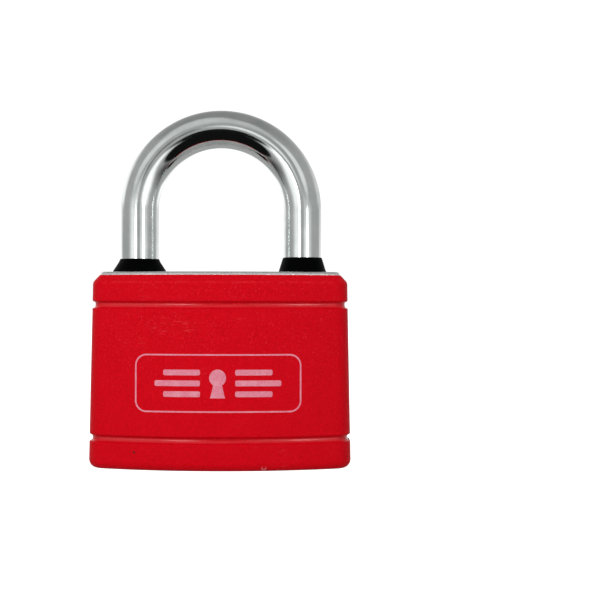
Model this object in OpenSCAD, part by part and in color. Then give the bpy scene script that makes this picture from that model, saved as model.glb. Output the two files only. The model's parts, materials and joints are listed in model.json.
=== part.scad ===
// Padlock: a cast iron body in a moulded jacket, a steel shackle held by two sliding
// bolts, and a five pin key cylinder. Sizes are millimetres. X is the width, the
// front faces -Y, +Z is up, and the origin is the centre of the jacket's base.
// Everything is drawn locked. The heel is the long leg at -X, the toe the short one.

/* [Jacket] */
// Width at the base
jacket_w = 79.7; // [79:0.1:82]
// Depth from front to back at the base
jacket_d = 33; // [32.5:0.1:35]
// Height
jacket_h = 58.4; // [58.2:0.1:58.8]
// How far each side leans in from base to top
jacket_draft = 1.2; // [0:0.1:1.2]
// Radius of the bulging front and back faces, seen from above
face_r = 100; // [90:1:120]
// Radius of the four upright corners
corner_r = 6.5; // [6:0.1:7]
// Width of the bevel round the upper edge
top_bevel_w = 2; // [1:0.1:2]
// Height of the bevel round the upper edge
top_bevel_h = 2.2; // [1:0.1:3]
// Rounding of the lower edge
base_round = 2.6; // [1.5:0.1:3]
// Thickness of the floor under the iron body
floor_t = 2; // [1.5:0.1:2]

/* [Jacket grooves and emblem] */
// Width of the two grooves that run round the jacket
groove_w = 2.3; // [1.5:0.1:3]
// Depth of the grooves
groove_depth = 0.9; // [0.4:0.1:1]
// Height of the lower groove
low_groove_z = 9.2; // [7:0.1:12]
// Height of the upper groove
high_groove_z = 49.4; // [46:0.1:51]
// Width of the emblem's outline on the front
emblem_w = 49.5; // [40:0.1:55]
// Height of the emblem's outline
emblem_h = 17.3; // [12:0.1:22]
// Height of the emblem's centre above the base
emblem_z = 26.2; // [24:0.1:34]
// Radius of the emblem's corners
emblem_r = 3.4; // [2:0.1:5]
// Width of the emblem's line
emblem_line = 0.5; // [0.3:0.1:1]
// Depth of the emblem's line
emblem_depth = 0.15; // [0.1:0.05:0.3]

/* [Iron body] */
// Distance from the jacket's outline at the base in to the iron
iron_inset = 3.4; // [3.4:0.1:3.6]
// How far the iron stands proud of the jacket's rim
iron_proud = 1; // [0.5:0.1:1.5]
// Rounding of the iron's upper and lower edges
iron_round = 1; // [0.4:0.1:1.4]
// Gap between the iron and the jacket
jacket_gap = 0.1; // [0.05:0.05:0.2]

/* [Shackle] */
// Diameter of the rod
rod_d = 11.5; // [11:0.1:11.6]
// Distance between the centre lines of the legs
leg_span = 50; // [49.5:0.1:50.5]
// Height of the centre of the arch
arch_z = 78.3; // [70:0.1:110]
// Height of the toe's end
toe_end_z = 44.7; // [44.2:0.1:45]
// How far the shackle rises when it is released
shackle_lift = 20; // [15:0.5:21]
// Radial clearance of the legs in their holes
leg_gap = 0.09; // [0.05:0.01:0.1]

/* [Seals] */
// Outer radius of the heel's seal where it sits on the iron
heel_seal_r = 8.2; // [7.6:0.1:8.4]
// Height of the heel's seal
heel_seal_h = 4; // [3.5:0.1:5]
// Outer radius of the toe's seal where it sits on the iron
toe_seal_r = 7.4; // [7.3:0.1:8.4]
// Height of the toe's seal
toe_seal_h = 4.5; // [3.5:0.1:5]

/* [Key cylinder] */
// Radius of the brass housing
housing_r = 10; // [10:0.1:10.2]
// Offset of the housing's centre from the plug's axis, towards the pin chambers
housing_shift = 3; // [2.8:0.1:3]
// Radius of the plug
plug_r = 6; // [5.9:0.05:6]
// Radial running clearance of the plug
plug_gap = 0.08; // [0.03:0.01:0.1]
// Distance between neighbouring pins
pin_pitch = 3.6; // [3.3:0.1:3.9]
// Radius of the pins
pin_r = 1.4; // [1.2:0.05:1.4]

/* [Locking bolts] */
// Radius of the two sliding bolts
bolt_r = 4; // [3.8:0.1:4]
// Height of the bolts' axis
bolt_z = 52; // [51.8:0.1:52.2]
// How deep each bolt's nose reaches into its leg
bolt_bite = 1.3; // [1:0.1:1.4]
// Radius of the spherical nose
nose_r = 7; // [6.5:0.1:8]
// Free play of the locked shackle before a notch meets its bolt
notch_play = 1.45; // [1.4:0.05:1.6]

/* [Hidden] */
// Depths of the five cuts of the key, which set the lengths of the pins
cuts = [1.2, 0.4, 1.8, 0.8, 1.4];
pin_count = len(cuts);
PINS = [for (i = [1:pin_count]) i];

$fn = 64;
EPS = 0.01;
// Angle steps of the faceted jacket and iron
FACE_STEPS = 14;
CORNER_STEPS = 6;
EDGE_STEPS = 5;
GROOVE_STEPS = 6;

// Jacket and iron
bevel_soft = 0.7;
iron_z0 = floor_t + jacket_gap;
iron_z1 = jacket_h + iron_proud;
corner_x = jacket_w / 2 - corner_r;
face_reach = sqrt(pow(face_r - corner_r, 2) - pow(corner_x, 2));
corner_y = jacket_d / 2 - face_r + face_reach;
face_a = asin(corner_x / (face_r - corner_r));

// Shackle and the pin that keeps the heel in the body
rod_r = rod_d / 2;
leg_x = leg_span / 2;
hole_r = rod_r + leg_gap;
toe_hole_z = toe_end_z - 1.2;
retaining_r = 1.5;
retaining_z = 42;
neck_r = 4.05;
retaining_x = -leg_x + neck_r + retaining_r + 0.1;
neck_z1 = retaining_z + retaining_r + 0.2;
neck_z0 = retaining_z - retaining_r - shackle_lift - 0.2;
collar_h = 3;
heel_end_z = neck_z0 - collar_h;
spring_room = 9.3;
lift_wire_r = 0.45;
lift_wire_turns = 7;
heel_hole_z = heel_end_z - spring_room;
dowel_gap = 0.02;
dowel_y0 = -8;
dowel_y1 = 9;
tip_bevel = 1;

// Seals
seal_gap = 0.05;
seal_seat_r = 7;
seal_seat_h = 1.5;
seal_lip_r = rod_r + 0.2;
heel_shoulder_r = rod_r + 0.5;
toe_shoulder_r = rod_r + 0.7;

// Key cylinder, from the key's side upwards
housing_z0 = 1;
housing_z1 = 39;
housing_bevel = 0.4;
cover_hole_r = 11.5;
housing_bore_r = housing_r + 0.05;
bore_top_z = 41.2;
plug_face_z = housing_z0 + 0.2;
flange_r = plug_r + 1;
flange_h = 1;
flange_bevel = 0.25;
flange_seat_r = flange_r + 0.1;
clip_z0 = housing_z1 + 0.1;
clip_t = 0.9;
clip_groove_r = plug_r - 0.8;
plug_rim_z1 = clip_z0 + clip_t + 1;
tail_w = 7;
tail_z1 = plug_rim_z1 + 4.5;
keyway_z1 = 34;
first_pin_z = 9.5;
chamber_r = pin_r + 0.05;
chamber_x1 = housing_shift + housing_r - 0.15;
key_pin_x1 = plug_r - 0.15;
driver_x0 = plug_r + 0.12;
driver_x1 = driver_x0 + 2.8;
chamber_plug_t = 0.6;
chamber_plug_x0 = chamber_x1 - chamber_plug_t;
pin_wire_r = 0.17;
pin_wire_turns = 5;
housing_pin_r = 1.25;
housing_pin_x = housing_shift + housing_r;
housing_pin_z = 31;

// Cam and bolts
cam_r = plug_r - 0.2;
cam_z0 = plug_rim_z1 + 0.3;
cam_z1 = bolt_z - bolt_r - 0.6;
cam_cavity_r = plug_r + 0.3;
cam_cavity_z1 = bolt_z - 1;
cam_pin_r = 1.25;
cam_pin_at = 3;
cam_pin_z1 = cam_cavity_z1 - 0.3;
cam_slot_half = cam_pin_r + 0.35;
bolt_bore_r = bolt_r + 0.08;
bolt_tip_x = leg_x - rod_r + bolt_bite;
bolt_shoulder_x = 13.5;
tongue_end_x = cam_pin_at - cam_slot_half - 2;
bolt_spring_z = bolt_z + 1.8;
bolt_spring_x = bolt_tip_x - 2.6;
spring_channel_r = 1.7;
bolt_wire_r = 0.22;
bolt_wire_turns = 24;
notch_x = bolt_tip_x + 0.15;
notch_z0 = bolt_z - bolt_r - notch_play;
notch_z1 = bolt_z + bolt_r + 0.3;
bore_plug_x0 = leg_x + rod_r + 0.6;
bore_plug_x1 = jacket_w / 2 - iron_inset - 0.5;

// Outline of the jacket seen from above, moved inwards all round by inset
function arc(cx, cy, r, a0, a1, steps) =
    [for (i = [0:steps]) let (a = a0 + (a1 - a0) * i / steps) [cx + r * cos(a), cy + r * sin(a)]];
function outline_half(inset) = concat(
    arc(corner_x, corner_y, corner_r - inset, 0, 90 - face_a, CORNER_STEPS),
    arc(0, jacket_d / 2 - face_r, face_r - inset, 90 - face_a + 3, 87 + face_a, FACE_STEPS),
    arc(-corner_x, corner_y, corner_r - inset, 90 + face_a, 180, CORNER_STEPS)
);
function outline(inset) = concat(outline_half(inset), [for (p = outline_half(inset)) -p]);

// Inset of an edge rounded by r at height h above or below the flat face
function edge_inset(r, h) = r - sqrt(r * r - pow(r - h, 2));
// Each level is a height and an inset, from the base to the top
function lean(z) = jacket_draft * z / jacket_h;
function rounding(r, z0, up) =
    [for (i = [0:EDGE_STEPS]) let (a = 90 * (up ? i : EDGE_STEPS - i) / EDGE_STEPS, h = r * (1 - cos(a)))
        [z0 + (up ? h : -h), edge_inset(r, h)]];
// The bevel of the upper edge, with its lower corner rounded off
function bevel() = [
    [jacket_h - top_bevel_h - bevel_soft, 0],
    [jacket_h - top_bevel_h + 0.1 * bevel_soft, 0.25 * bevel_soft],
    [jacket_h - top_bevel_h + bevel_soft, bevel_soft * top_bevel_w / top_bevel_h],
    [jacket_h, top_bevel_w]
];
function groove(z) =
    [for (i = [0:GROOVE_STEPS]) let (a = 180 * i / GROOVE_STEPS)
        [z - groove_w / 2 * cos(a), groove_depth * sin(a)]];
function jacket_levels() = concat(
    rounding(base_round, 0, true),
    groove(low_groove_z),
    groove(high_groove_z),
    bevel()
);
function iron_levels() = concat(
    rounding(iron_round, iron_z0, true),
    rounding(iron_round, iron_z1, false)
);

// A solid whose rings follow the jacket's outline, one for each level
module ringed(levels, leaning, inset) {
    rings = [for (v = levels) outline(inset + v[1] + (leaning ? lean(v[0]) : 0))];
    n = len(rings[0]);
    top = len(levels) - 1;
    points = [for (k = [0:top]) for (p = rings[k]) [p[0], p[1], levels[k][0]]];
    walls = [for (k = [0:top - 1]) for (i = [0:n - 1]) let (j = (i + 1) % n)
        [k * n + i, (k + 1) * n + i, (k + 1) * n + j, k * n + j]];
    ends = [[for (i = [0:n - 1]) i], [for (i = [n - 1:-1:0]) top * n + i]];
    polyhedron(points, concat(ends, walls), convexity = 6);
}

// A cylinder along X from x0 to x1
module rod_x(r, x0, x1) {
    translate([x0, 0, 0]) rotate([0, 90, 0]) cylinder(r = r, h = x1 - x0);
}

// A cylinder along Y from y0 to y1
module rod_y(r, y0, y1) {
    translate([0, y1, 0]) rotate([90, 0, 0]) cylinder(r = r, h = y1 - y0);
}

// A coil spring along +Z whose wire ends lie flat at z = 0 and z = h
module coil_spring(h, mean_r, wire_r, turns, steps, sides) {
    count = turns * steps;
    rise = h - 2 * wire_r;
    points = [for (k = [0:count]) let (a = 360 * k / steps) for (s = [0:sides - 1])
        let (b = 360 * s / sides, r = mean_r + wire_r * cos(b))
            [r * cos(a), r * sin(a), wire_r + rise * k / count + wire_r * sin(b)]];
    walls = [for (k = [0:count - 1]) for (s = [0:sides - 1]) let (t = (s + 1) % sides)
        for (f = [[k * sides + s, (k + 1) * sides + t, (k + 1) * sides + s],
                  [k * sides + s, k * sides + t, (k + 1) * sides + t]]) f];
    ends = [[for (s = [sides - 1:-1:0]) s], [for (s = [0:sides - 1]) count * sides + s]];
    polyhedron(points, concat(ends, walls), convexity = 10);
}

// Rectangle with round corners, centred on the origin
module rounded_rect(w, h, r) {
    square([w - 2 * r, h], center = true);
    square([w, h - 2 * r], center = true);
    for (x = [-1, 1], y = [-1, 1])
        translate([x * (w / 2 - r), y * (h / 2 - r)]) circle(r = r);
}

// Emblem: a plain outline sunk into the front face
module emblem_cut() {
    difference() {
        translate([0, 0, emblem_z]) rotate([90, 0, 0]) linear_extrude(jacket_d)
            difference() {
                rounded_rect(emblem_w, emblem_h, emblem_r);
                rounded_rect(emblem_w - 2 * emblem_line, emblem_h - 2 * emblem_line, emblem_r - emblem_line);
            }
        ringed([[1, 0], [jacket_h - 1, 0]], true, emblem_depth);
    }
}

// Moulded jacket that wraps the iron body and closes its base
module cover() {
    color("firebrick") difference() {
        ringed(jacket_levels(), true, 0);
        translate([0, 0, floor_t]) linear_extrude(jacket_h) polygon(outline(iron_inset - jacket_gap));
        translate([housing_shift, 0, -1]) cylinder(r = cover_hole_r, h = floor_t + 2);
        emblem_cut();
    }
}

// Cast iron body with its bores for legs, bolts and key cylinder
module lock_body() {
    color("silver") difference() {
        ringed(iron_levels(), false, iron_inset);
        translate([leg_x, 0, toe_hole_z]) cylinder(r = hole_r, h = iron_z1);
        translate([-leg_x, 0, heel_hole_z]) cylinder(r = hole_r, h = iron_z1);
        for (x = [-leg_x, leg_x])
            translate([x, 0, iron_z1 - seal_seat_h]) cylinder(r = seal_seat_r, h = iron_z1);
        translate([housing_shift, 0, 0]) cylinder(r = housing_bore_r, h = bore_top_z);
        translate([0, 0, bore_top_z - EPS]) cylinder(r = cam_cavity_r, h = cam_cavity_z1 - bore_top_z + EPS);
        translate([0, 0, bolt_z]) rod_x(bolt_bore_r, -leg_x, jacket_w);
        translate([retaining_x, 0, retaining_z])
            rod_y(retaining_r + dowel_gap, dowel_y0 - dowel_gap, jacket_d);
        translate([housing_pin_x, 0, housing_pin_z])
            rod_y(housing_pin_r + dowel_gap, dowel_y0 - dowel_gap, jacket_d);
    }
}

// A cylinder whose lower edge is bevelled
module bevelled_cylinder(r, h, bevel) {
    cylinder(r1 = r - bevel, r2 = r, h = bevel);
    translate([0, 0, bevel]) cylinder(r = r, h = h - bevel);
}

// One leg of the shackle with a bevelled tip, from z0 up to the arch
module leg(z0) {
    translate([0, 0, z0]) bevelled_cylinder(rod_r, arch_z - z0, tip_bevel);
}

// Cut that takes a sliding bolt, in the inner side of the leg at +X
module bolt_notch() {
    translate([0, -rod_d, notch_z0]) cube([notch_x, 2 * rod_d, notch_z1 - notch_z0]);
}

// Ring cut into the heel, along which the retaining pin passes as the shackle rises
module neck_cut() {
    translate([-leg_x, 0, 0]) rotate_extrude()
        polygon([
            [neck_r, neck_z0],
            [rod_r + 1, neck_z0],
            [rod_r + 1, neck_z1 + rod_r + 1 - neck_r],
            [neck_r, neck_z1]
        ]);
}

// Bent steel rod with its two notches and the heel's neck
module shackle() {
    color("gainsboro") difference() {
        union() {
            translate([0, 0, arch_z]) rotate([90, 0, 0]) rotate_extrude(angle = 180)
                translate([leg_x, 0]) circle(r = rod_r);
            translate([leg_x, 0, 0]) leg(toe_end_z);
            translate([-leg_x, 0, 0]) leg(heel_end_z);
        }
        bolt_notch();
        rotate([0, 0, 180]) bolt_notch();
        neck_cut();
    }
}

// Rubber seal round a leg: a seat in the iron, and above it a cone that closes on the
// leg over a rounded shoulder
module seal(r, h, shoulder_r, shoulder_h) {
    in_r = rod_r + seal_gap;
    rotate_extrude() polygon([
        [in_r, -seal_seat_h],
        [seal_seat_r, -seal_seat_h],
        [seal_seat_r, 0],
        [r, 0],
        [shoulder_r, shoulder_h],
        [(shoulder_r + seal_lip_r) / 2 + 0.1, (shoulder_h + h) / 2],
        [seal_lip_r, h],
        [in_r, h]
    ]);
}

module heel_seal() {
    color("black") translate([-leg_x, 0, iron_z1])
        seal(heel_seal_r, heel_seal_h, heel_shoulder_r, 0.8 * heel_seal_h);
}

module toe_seal() {
    color("black") translate([leg_x, 0, iron_z1])
        seal(toe_seal_r, toe_seal_h, toe_shoulder_r, 0.65 * toe_seal_h);
}

// Round pin chambers, side by side along the plug
module chambers(r, x0, x1) {
    for (i = PINS) translate([0, 0, pin_z(i)]) rod_x(r, x0, x1);
}
function pin_z(i) = first_pin_z + (i - 1) * pin_pitch;

// Brass housing, eccentric so that the pins lie on its thick side
module cylinder_housing() {
    color("goldenrod") difference() {
        translate([housing_shift, 0, housing_z0])
            bevelled_cylinder(housing_r, housing_z1 - housing_z0, housing_bevel);
        cylinder(r = plug_r + plug_gap, h = jacket_h);
        cylinder(r = flange_seat_r, h = plug_face_z + flange_h + 0.1);
        chambers(chamber_r, plug_r / 2, housing_shift + housing_r + 1);
        translate([housing_pin_x, 0, housing_pin_z]) rod_y(housing_pin_r + dowel_gap, -jacket_d, jacket_d);
    }
}

// Keyway seen along the plug, with a ward standing in from each wall
module keyway() {
    half = 1.15;
    ward = 0.7;
    polygon([
        [-5, -half], [0.5, -half], [0.9, ward - half], [1.7, ward - half], [2.1, -half], [3.2, -half],
        [3.2, half], [-1, half], [-1.4, half - ward], [-2.6, half - ward], [-3, half], [-5, half]
    ]);
}

// Plug that turns with the key, with a flange at its face and a square tail
module cylinder_plug() {
    color("gold") difference() {
        union() {
            translate([0, 0, plug_face_z]) bevelled_cylinder(flange_r, flange_h, flange_bevel);
            translate([0, 0, plug_face_z + flange_h / 2])
                cylinder(r = plug_r, h = plug_rim_z1 - plug_face_z - flange_h / 2);
            translate([-tail_w / 2, -tail_w / 2, plug_rim_z1 - EPS])
                cube([tail_w, tail_w, tail_z1 - plug_rim_z1]);
        }
        linear_extrude(keyway_z1) keyway();
        chambers(chamber_r, 0, plug_r + 1);
        translate([0, 0, clip_z0 - 0.05]) difference() {
            cylinder(r = plug_r + 1, h = clip_t + 0.1);
            cylinder(r = clip_groove_r, h = clip_t + 0.1);
        }
    }
}

// Open spring clip that keeps the plug in the housing
module plug_clip() {
    color("lightgray") translate([0, 0, clip_z0]) rotate([0, 0, 30])
        rotate_extrude(angle = 300) translate([clip_groove_r + 0.03, 0]) square([1.6, clip_t]);
}

// Cam on the plug's tail: its two pins draw the bolts in as it turns
module plug_cam() {
    color("darkgray") {
        difference() {
            translate([0, 0, cam_z0]) cylinder(r = cam_r, h = cam_z1 - cam_z0);
            translate([-tail_w / 2 - 0.05, -tail_w / 2 - 0.05, 0])
                cube([tail_w + 0.1, tail_w + 0.1, tail_z1 + 0.1]);
        }
        for (s = [-1, 1])
            translate([s * cam_pin_at, s * cam_pin_at, cam_z1 - EPS])
                cylinder(r = cam_pin_r, h = cam_pin_z1 - cam_z1);
    }
}

// Dowel that pins the housing in the iron
module housing_pin() {
    color("gray") translate([housing_pin_x, 0, housing_pin_z]) rod_y(housing_pin_r, dowel_y0, dowel_y1);
}

// Pin that rides on the key's cut, its outer end at the edge of the plug
module key_pin(i) {
    x0 = cuts[i - 1];
    cone = 0.7;
    color("khaki") translate([0, 0, pin_z(i)]) {
        rod_x(pin_r, x0 + cone, key_pin_x1);
        translate([x0, 0, 0]) rotate([0, 90, 0]) cylinder(r1 = pin_r / 2, r2 = pin_r, h = cone);
    }
}

// Pin that the spring drives into the plug when the key is out
module driver_pin(i) {
    color("silver") translate([0, 0, pin_z(i)]) rod_x(pin_r, driver_x0, driver_x1);
}

module pin_spring(i) {
    color("lightsteelblue") translate([driver_x1 + 0.05, 0, pin_z(i)]) rotate([0, 90, 0])
        coil_spring(chamber_plug_x0 - driver_x1 - 0.1, pin_r - 0.3, pin_wire_r, pin_wire_turns, 10, 5);
}

// Brass disc that closes the outer end of a pin chamber
module chamber_plug(i) {
    color("goldenrod") translate([0, 0, pin_z(i)]) rod_x(chamber_r, chamber_plug_x0, chamber_x1);
}

// Sliding bolt with its nose towards +X: a round head, and a tongue on the +Y side
// that the cam pin catches from below
module sliding_bolt() {
    difference() {
        intersection() {
            union() {
                rod_x(bolt_r, bolt_shoulder_x, bolt_tip_x);
                intersection() {
                    rod_x(bolt_r, tongue_end_x, bolt_tip_x);
                    translate([tongue_end_x - 1, 0.1, -bolt_r]) cube([bolt_tip_x, bolt_r, 2 * bolt_r]);
                }
            }
            union() {
                translate([bolt_tip_x - nose_r, 0, 0]) sphere(r = nose_r);
                translate([-leg_x, -leg_x, -leg_x]) cube([leg_x + bolt_tip_x - nose_r, leg_span, leg_span]);
            }
        }
        translate([0, 0, bolt_spring_z - bolt_z]) rod_x(spring_channel_r, -leg_x, bolt_spring_x + 0.1);
        translate([cam_pin_at - cam_slot_half, cam_pin_at - cam_pin_r - 0.4, -bolt_r - 1])
            cube([2 * cam_slot_half, bolt_r, cam_cavity_z1 + 0.1 - bolt_z + bolt_r + 1]);
    }
}

module toe_bolt() {
    color("slategray") translate([0, 0, bolt_z]) sliding_bolt();
}

module heel_bolt() {
    color("slategray") translate([0, 0, bolt_z]) rotate([0, 0, 180]) sliding_bolt();
}

// Spring between the heads of the two bolts that pushes both noses out
module bolt_spring() {
    color("lightsteelblue") translate([-bolt_spring_x, 0, bolt_spring_z]) rotate([0, 90, 0])
        coil_spring(2 * bolt_spring_x, spring_channel_r - 0.4, bolt_wire_r, bolt_wire_turns, 10, 5);
}

// Disc that closes the outer end of the bolts' bore
module bolt_bore_plug() {
    color("silver") translate([0, 0, bolt_z]) rod_x(bolt_bore_r, bore_plug_x0, bore_plug_x1);
}

// Spring under the heel that lifts the released shackle
module shackle_spring() {
    gap = 0.1;
    color("lightsteelblue") translate([-leg_x, 0, heel_hole_z + gap])
        coil_spring(spring_room - 2 * gap, rod_r - 1.35, lift_wire_r, lift_wire_turns, 16, 6);
}

// Pin beside the heel's neck that stops the shackle from leaving the body
module shackle_retaining_pin() {
    color("gray") translate([retaining_x, 0, retaining_z]) rod_y(retaining_r, dowel_y0, dowel_y1);
}

cover();
lock_body();
shackle();
heel_seal();
toe_seal();
cylinder_housing();
cylinder_plug();
plug_clip();
plug_cam();
housing_pin();
for (i = PINS) {
    key_pin(i);
    driver_pin(i);
    pin_spring(i);
    chamber_plug(i);
}
heel_bolt();
toe_bolt();
bolt_spring();
bolt_bore_plug();
shackle_spring();
shackle_retaining_pin();
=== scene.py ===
import json
import math

import bpy
import numpy as np
from mathutils import Euler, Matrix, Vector, noise


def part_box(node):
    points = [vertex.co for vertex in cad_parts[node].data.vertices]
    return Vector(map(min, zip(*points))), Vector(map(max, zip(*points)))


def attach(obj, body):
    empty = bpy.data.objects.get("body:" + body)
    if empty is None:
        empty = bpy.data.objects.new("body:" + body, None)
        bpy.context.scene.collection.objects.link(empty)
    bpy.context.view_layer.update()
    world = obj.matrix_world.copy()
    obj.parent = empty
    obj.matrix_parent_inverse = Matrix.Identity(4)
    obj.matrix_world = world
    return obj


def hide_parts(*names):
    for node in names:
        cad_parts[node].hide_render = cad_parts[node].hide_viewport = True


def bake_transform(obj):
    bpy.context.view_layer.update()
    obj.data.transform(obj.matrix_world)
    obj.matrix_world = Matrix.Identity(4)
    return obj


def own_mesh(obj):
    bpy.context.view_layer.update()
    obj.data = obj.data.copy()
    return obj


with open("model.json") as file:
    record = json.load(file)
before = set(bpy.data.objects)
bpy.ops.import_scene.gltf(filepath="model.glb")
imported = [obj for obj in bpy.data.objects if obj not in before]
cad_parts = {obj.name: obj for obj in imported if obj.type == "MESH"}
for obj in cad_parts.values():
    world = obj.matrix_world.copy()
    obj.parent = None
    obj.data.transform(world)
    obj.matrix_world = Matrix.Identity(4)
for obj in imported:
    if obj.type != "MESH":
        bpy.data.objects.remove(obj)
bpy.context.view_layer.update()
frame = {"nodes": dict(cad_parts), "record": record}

# Lengths below are in millimetres in the CAD frame. solid() turns them into metres.
MM = 0.001


def box_mm(node):
    """Lowest and highest corner of a CAD node, in millimetres."""
    low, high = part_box(node)
    return np.array(low) / MM, np.array(high) / MM


# ---------------------------------------------------------------- sizes from the frame

COVER_HIGH = box_mm("cover")[1]
IRON_LOW, IRON_HIGH = box_mm("lock_body")
SHACKLE_LOW, SHACKLE_HIGH = box_mm("shackle")
HOUSING_LOW, HOUSING_HIGH = box_mm("cylinder_housing")

# Jacket: the lean of its sides, roundings, and the two grooves
JACKET_H = COVER_HIGH[2]
LEAN = 1.2
BASE_ROUND = 2.6
BEVEL_W = 2.0
BEVEL_H = 2.2
HALF_W = COVER_HIGH[0] + LEAN * BASE_ROUND / JACKET_H
HALF_D = COVER_HIGH[1] + LEAN * BASE_ROUND / JACKET_H
FACE_R = 100.0
CORNER_R = 6.5
GROOVE_W = 2.3
GROOVE_DEPTH = 0.9
GROOVE_Z = (9.2, 49.4)
FLOOR_T = 2.0
COVER_HOLE_R = 11.5
HOUSING_X = (HOUSING_LOW[0] + HOUSING_HIGH[0]) / 2

# Iron body
IRON_INSET = HALF_W - IRON_HIGH[0]
IRON_ROUND = 1.0
JACKET_GAP = 0.1

# Bores in the iron: for the cylinder, the cam above it and the bolts
HOUSING_BORE_R = 10.05
HOUSING_BORE_Z = 41.2
CAM_CAVITY_R = 6.3
BOLT_BORE_R = 4.08
BOLT_Z = 52.0

# Shackle
ROD_R = (SHACKLE_HIGH[1] - SHACKLE_LOW[1]) / 2
LEG_X = SHACKLE_HIGH[0] - ROD_R
ARCH_Z = SHACKLE_HIGH[2] - LEG_X - ROD_R
HEEL_END_Z = SHACKLE_LOW[2]
TOE_END_Z = 44.7
TOE_HOLE_Z = TOE_END_Z - 1.2
HOLE_R = ROD_R + 0.09
# Seats of the rubber seals in the iron's top
SEAT_R = 7.0
SEAT_H = 1.5

# Corner of the outline seen from above
CORNER_X = HALF_W - CORNER_R
CORNER_Y = HALF_D - FACE_R + math.sqrt((FACE_R - CORNER_R) ** 2 - CORNER_X ** 2)
FACE_A = math.asin(CORNER_X / (FACE_R - CORNER_R))


# ---------------------------------------------------------------- mesh helpers

def solid(name, verts, faces, smooth_deg=35.0):
    """A mesh object from vertices in millimetres, smooth except across sharp edges."""
    mesh = bpy.data.meshes.new(name)
    mesh.from_pydata((np.asarray(verts, float) * MM).tolist(), [], faces)
    mesh.validate()
    mesh.shade_smooth()
    mesh.set_sharp_from_angle(angle=math.radians(smooth_deg))
    obj = bpy.data.objects.new(name, mesh)
    bpy.context.scene.collection.objects.link(obj)
    return obj


def lofted(rings, closed=False, capped=True):
    """Vertices and quads through rings of equally many points. closed joins last to first."""
    count = len(rings[0])
    levels = len(rings)
    verts = np.concatenate(rings)
    nxt = (np.arange(count) + 1) % count
    faces = []
    for k in range(levels if closed else levels - 1):
        a = k * count
        b = ((k + 1) % levels) * count
        faces += [(a + i, a + nxt[i], b + nxt[i], b + i) for i in range(count)]
    if capped and not closed:
        faces.append(tuple(range(count - 1, -1, -1)))
        faces.append(tuple(range((levels - 1) * count, levels * count)))
    return verts, [tuple(int(i) for i in f) for f in faces]


def circle_ring(radius, z, count, cx=0.0):
    """A level circle of points about the axis at x = cx."""
    a = np.linspace(0, 2 * math.pi, count, endpoint=False)
    return np.stack([cx + radius * np.cos(a), radius * np.sin(a), np.full(count, z)], 1)


def arc_points(cx, cy, radius, a0, a1, steps, last=True):
    """Points along an arc from angle a0 to a1, with or without the last one."""
    a = np.linspace(a0, a1, steps + 1)
    if not last:
        a = a[:-1]
    return np.stack([cx + radius * np.cos(a), cy + radius * np.sin(a)], 1)


def outline(inset, face_steps=110, corner_steps=18, side_steps=10):
    """The jacket's outline seen from above, moved inwards by inset, anticlockwise from +X."""
    quarter = math.pi / 2
    side_y = np.linspace(0, CORNER_Y, side_steps, endpoint=False)
    side = np.stack([np.full(side_steps, HALF_W - inset), side_y], 1)
    right = arc_points(CORNER_X, CORNER_Y, CORNER_R - inset, 0, quarter - FACE_A, corner_steps, False)
    face = arc_points(
        0, HALF_D - FACE_R, FACE_R - inset, quarter - FACE_A, quarter + FACE_A, face_steps, False)
    left = arc_points(
        -CORNER_X, CORNER_Y, CORNER_R - inset, quarter + FACE_A, 2 * quarter, corner_steps, False)
    down = np.stack([np.full(side_steps, -HALF_W + inset), CORNER_Y - side_y], 1)
    half = np.concatenate([side, right, face, left, down])
    return np.concatenate([half, -half])


def outline_ring(z, inset):
    """The jacket's outline as a level ring at height z."""
    points = outline(inset)
    return np.column_stack([points, np.full(len(points), z)])


def lean_at(z):
    """How far the jacket's walls have leaned in at height z."""
    return LEAN * z / JACKET_H


def rounded(radius, z_flat, rising, steps=9):
    """(height, inset) pairs of a rounded edge, from the flat face if rising, else to it."""
    a = np.linspace(0, math.pi / 2, steps)
    if not rising:
        a = a[::-1]
    height = radius * (1 - np.cos(a))
    inset = radius * (1 - np.sin(a))
    return [(z_flat + (h if rising else -h), i) for h, i in zip(height, inset)]


def straight(z0, z1, steps):
    """(height, inset) pairs up a plain wall, without its two ends."""
    return [(z, 0.0) for z in np.linspace(z0, z1, steps + 2)[1:-1]]


def softened(points, reach, steps=6):
    """A line of (height, inset) points whose inner corners become short curves."""
    points = [np.array(p, float) for p in points]
    line = [points[0]]
    for before, corner, after in zip(points, points[1:], points[2:]):
        start = corner + (before - corner) * reach / np.linalg.norm(before - corner)
        end = corner + (after - corner) * reach / np.linalg.norm(after - corner)
        for t in np.linspace(0, 1, steps):
            line.append((1 - t) ** 2 * start + 2 * t * (1 - t) * corner + t ** 2 * end)
    return [tuple(p) for p in line + [points[-1]]]


def groove(z, lip=0.25, steps=17):
    """(height, inset) pairs of a channel with a nearly flat bottom and softened lips."""
    half = GROOVE_W / 2
    pairs = [(z - half - lip, 0.0), (z - half - lip / 3, 0.02)]
    for t in np.sin(np.linspace(-1, 1, steps) * math.pi / 2) * 0.97:
        pairs.append((z + half * t, GROOVE_DEPTH * (1 - abs(t) ** 3.6)))
    return pairs + [(z + half + lip / 3, 0.02), (z + half + lip, 0.0)]


def cylinder_cutter(radius, start, end, count=96):
    """A plain cylinder between two points, used only to drill holes."""
    start, end = Vector(start), Vector(end)
    axis = (end - start).normalized()
    side = axis.orthogonal().normalized()
    other = axis.cross(side)
    a = np.linspace(0, 2 * math.pi, count, endpoint=False)
    wheel = radius * (np.outer(np.cos(a), side) + np.outer(np.sin(a), other))
    verts, faces = lofted([np.array(start) + wheel, np.array(end) + wheel])
    return solid("cutter", verts, faces)


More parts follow.
